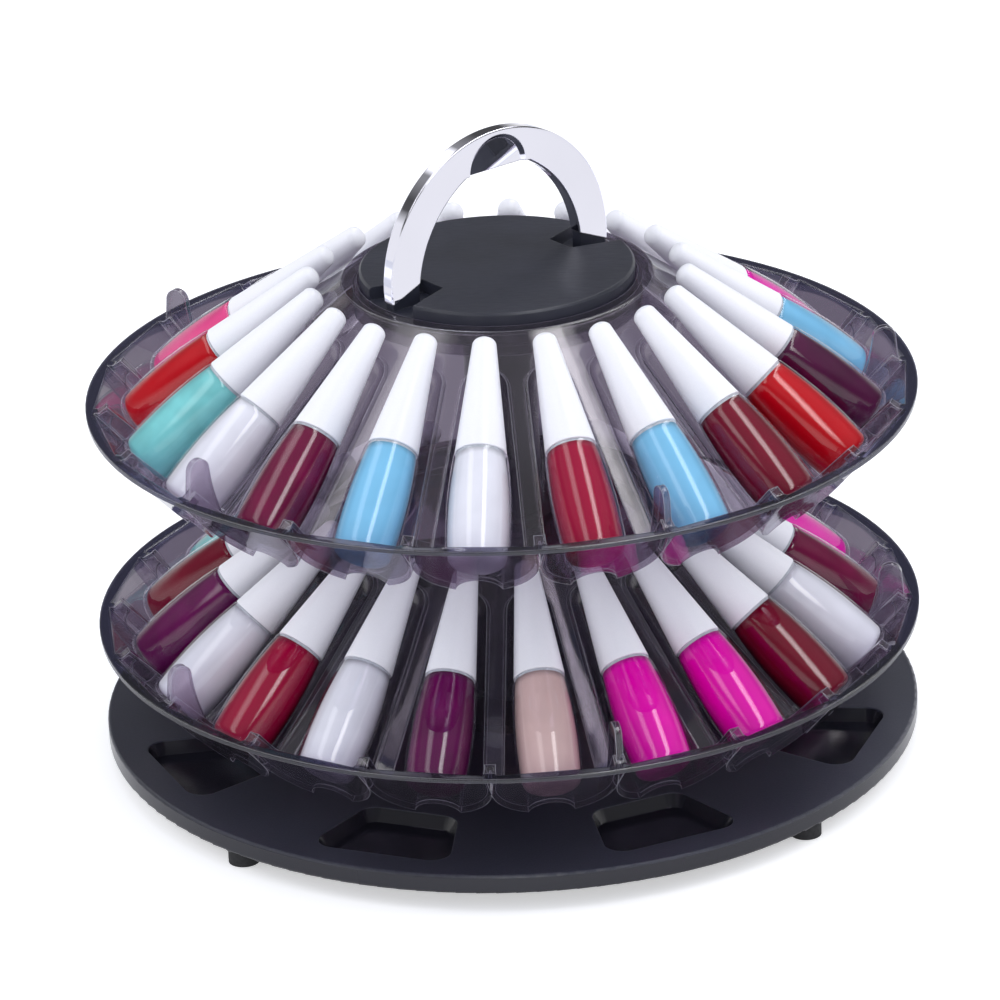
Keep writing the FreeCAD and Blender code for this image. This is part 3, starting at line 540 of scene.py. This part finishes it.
def make_camera():
    across = Vector((1, 0, 0))
    upward = Vector((0, math.sin(ELEVATION), math.cos(ELEVATION)))
    ahead = Vector((0, math.cos(ELEVATION), -math.sin(ELEVATION)))
    right = across * math.cos(ROLL) + upward * math.sin(ROLL)
    up = upward * math.cos(ROLL) - across * math.sin(ROLL)
    place = Vector((0, 0, BASE_BOTTOM)) - right * PAN_RIGHT - up * PAN_UP - ahead * CAMERA_DISTANCE
    data = bpy.data.cameras.new("camera")
    data.lens = CAMERA_LENS
    data.sensor_width = CAMERA_SENSOR
    camera = bpy.data.objects.new("camera", data)
    camera.matrix_world = Matrix.Translation(place) @ Matrix((right, up, -ahead)).transposed().to_4x4()
    scene.collection.objects.link(camera)
    scene.camera = camera


# Studio: white floor and world for the camera, lamps, and a dark ceiling with bright strips for reflections.
# Through a clear surface the floor and the world are grey, as they look through the photograph's trays.

DIM_STUDIO = tone(150, 147, 158)
AHEAD = [(0.0, 1.0), (0.3, 1.0), (0.42, 0.1), (0.62, 0.06), (1.0, 0.06)]
BEHIND = [(0.0, 1.0), (0.12, 0.6), (0.25, 0.08), (1.0, 0.08)]
STRIPS = [(0.0, 0.05), (0.2, 0.05), (0.25, 0.4), (0.31, 0.4), (0.36, 0.05), (0.59, 0.05), (0.63, 1.0),
          (0.68, 1.0), (0.73, 0.05), (1.0, 0.05)]
STRIP_STRENGTH = 6.0
CEILING_START, CEILING_FULL = 0.5, 0.62
ROOM_STRENGTH = 0.82
LAMP_TARGET = (0, 0, 0.1)
LAMPS = [("left_box", (-1.2, 0.05, 0.7), 0.6, 1.0, 5), ("right_box", (1.1, 0.15, 0.8), 0.7, 1.2, 7),
         ("front_box", (-0.3, -1.9, 0.6), 1.6, 1.0, 9), ("top_box", (0.1, 0.1, 1.6), 1.2, 1.2, 3)]
FLOOR_HALF = 3.0
FLOOR_GAP = 0.2 * MM
FLOOR_GLOW = 0.45
FLOOR_BOUNCE_GLOW = 0.25


def soft_box(name, place, width, height, power):
    """A lamp aimed at the rack's middle. It lights, and the strips in the world are what shines back."""
    data = bpy.data.lights.new(name, "AREA")
    data.shape = "RECTANGLE"
    data.size = width
    data.size_y = height
    data.energy = power
    lamp = bpy.data.objects.new(name, data)
    lamp.visible_glossy = False
    way = (Vector(LAMP_TARGET) - Vector(place)).to_track_quat("-Z", "Y")
    lamp.matrix_world = Matrix.Translation(place) @ way.to_matrix().to_4x4()
    scene.collection.objects.link(lamp)


def through_smoke(tree, path):
    """1 for a ray that has passed through a clear surface."""
    return calculate(tree, "GREATER_THAN", path["Transparent Depth"], 0.5)


def make_world():
    world = bpy.data.worlds.new("studio")
    world.use_nodes = True
    scene.world = world
    tree = world.node_tree
    tree.nodes.clear()
    path = add(tree, "LightPath").outputs
    way = add(tree, "TexCoord").outputs["Generated"]
    parts = add(tree, "SeparateXYZ", Vector=way).outputs
    rear = calculate(tree, "SUBTRACT", parts["Y"], times(tree, calculate(tree, "ABSOLUTE", parts["X"]), 1.2))
    front = spread(tree, rear, 0.1, 0.35, 1.0, 0.0)
    around = blend(tree, front, ramp(tree, parts["Z"], *BEHIND), ramp(tree, parts["Z"], *AHEAD))
    strips = ramp(tree, spread(tree, parts["X"], -1.0, 1.0, 0.0, 1.0), *STRIPS)
    scaled = add(tree, "VectorMath", {"operation": "SCALE"}, i0=strips, Scale=STRIP_STRENGTH)
    overhead = spread(tree, parts["Z"], CEILING_START, CEILING_FULL, 0.0, 1.0)
    mirrored = blend(tree, overhead, around, scaled.outputs["Vector"])
    backdrop = blend(tree, through_smoke(tree, path), (1, 1, 1, 1), DIM_STUDIO)
    lit = add(tree, "Background", Color=tone(226, 230, 240), Strength=ROOM_STRENGTH).outputs[0]
    seen = add(tree, "Background", Color=backdrop, Strength=1.0).outputs[0]
    gloss = add(tree, "Background", Color=mirrored, Strength=1.0).outputs[0]
    first = add(tree, "MixShader", i0=path["Is Glossy Ray"], i1=lit, i2=gloss).outputs[0]
    straight = calculate(tree, "MAXIMUM", path["Is Camera Ray"], path["Is Transmission Ray"])
    mixed = add(tree, "MixShader", i0=straight, i1=first, i2=seen).outputs[0]
    add(tree, "OutputWorld", Surface=mixed)


def make_floor():
    corners = [(x * FLOOR_HALF, y * FLOOR_HALF, 0) for x, y in ((-1, -1), (1, -1), (1, 1), (-1, 1))]
    data = bpy.data.meshes.new("floor")
    data.from_pydata(corners, [], [(0, 1, 2, 3)])
    floor = bpy.data.objects.new("floor", data)
    floor.location.z = cad_box[0][2] - FLOOR_GAP
    material, tree = new_material("studio_floor")
    matte = add(tree, "BsdfDiffuse", Color=(0.86, 0.86, 0.87, 1)).outputs[0]
    glow = add(tree, "Emission", Color=(1, 1, 1, 1), Strength=FLOOR_GLOW).outputs[0]
    both = add(tree, "AddShader", i0=matte, i1=glow).outputs[0]
    path = add(tree, "LightPath").outputs
    seen = calculate(tree, "MAXIMUM", path["Is Camera Ray"], path["Is Transmission Ray"])
    faint = add(tree, "Emission", Color=(1, 1, 1, 1), Strength=FLOOR_BOUNCE_GLOW).outputs[0]
    lifted = add(tree, "AddShader", i0=matte, i1=faint).outputs[0]
    lit = add(tree, "MixShader", i0=seen, i1=lifted, i2=both).outputs[0]
    dim = add(tree, "Emission", Color=DIM_STUDIO, Strength=1.0).outputs[0]
    dimmed = times(tree, through_smoke(tree, path), path["Is Camera Ray"])
    output(tree, add(tree, "MixShader", i0=dimmed, i1=lit, i2=dim).outputs[0])
    data.materials.append(material)
    scene.collection.objects.link(floor)


def make_studio():
    make_world()
    make_floor()
    for lamp in LAMPS:
        soft_box(*lamp)


make_bottles()
dress_frame()
make_camera()
make_studio()
scene.view_settings.view_transform = "Standard"
scene.cycles.transparent_max_bounces = 48
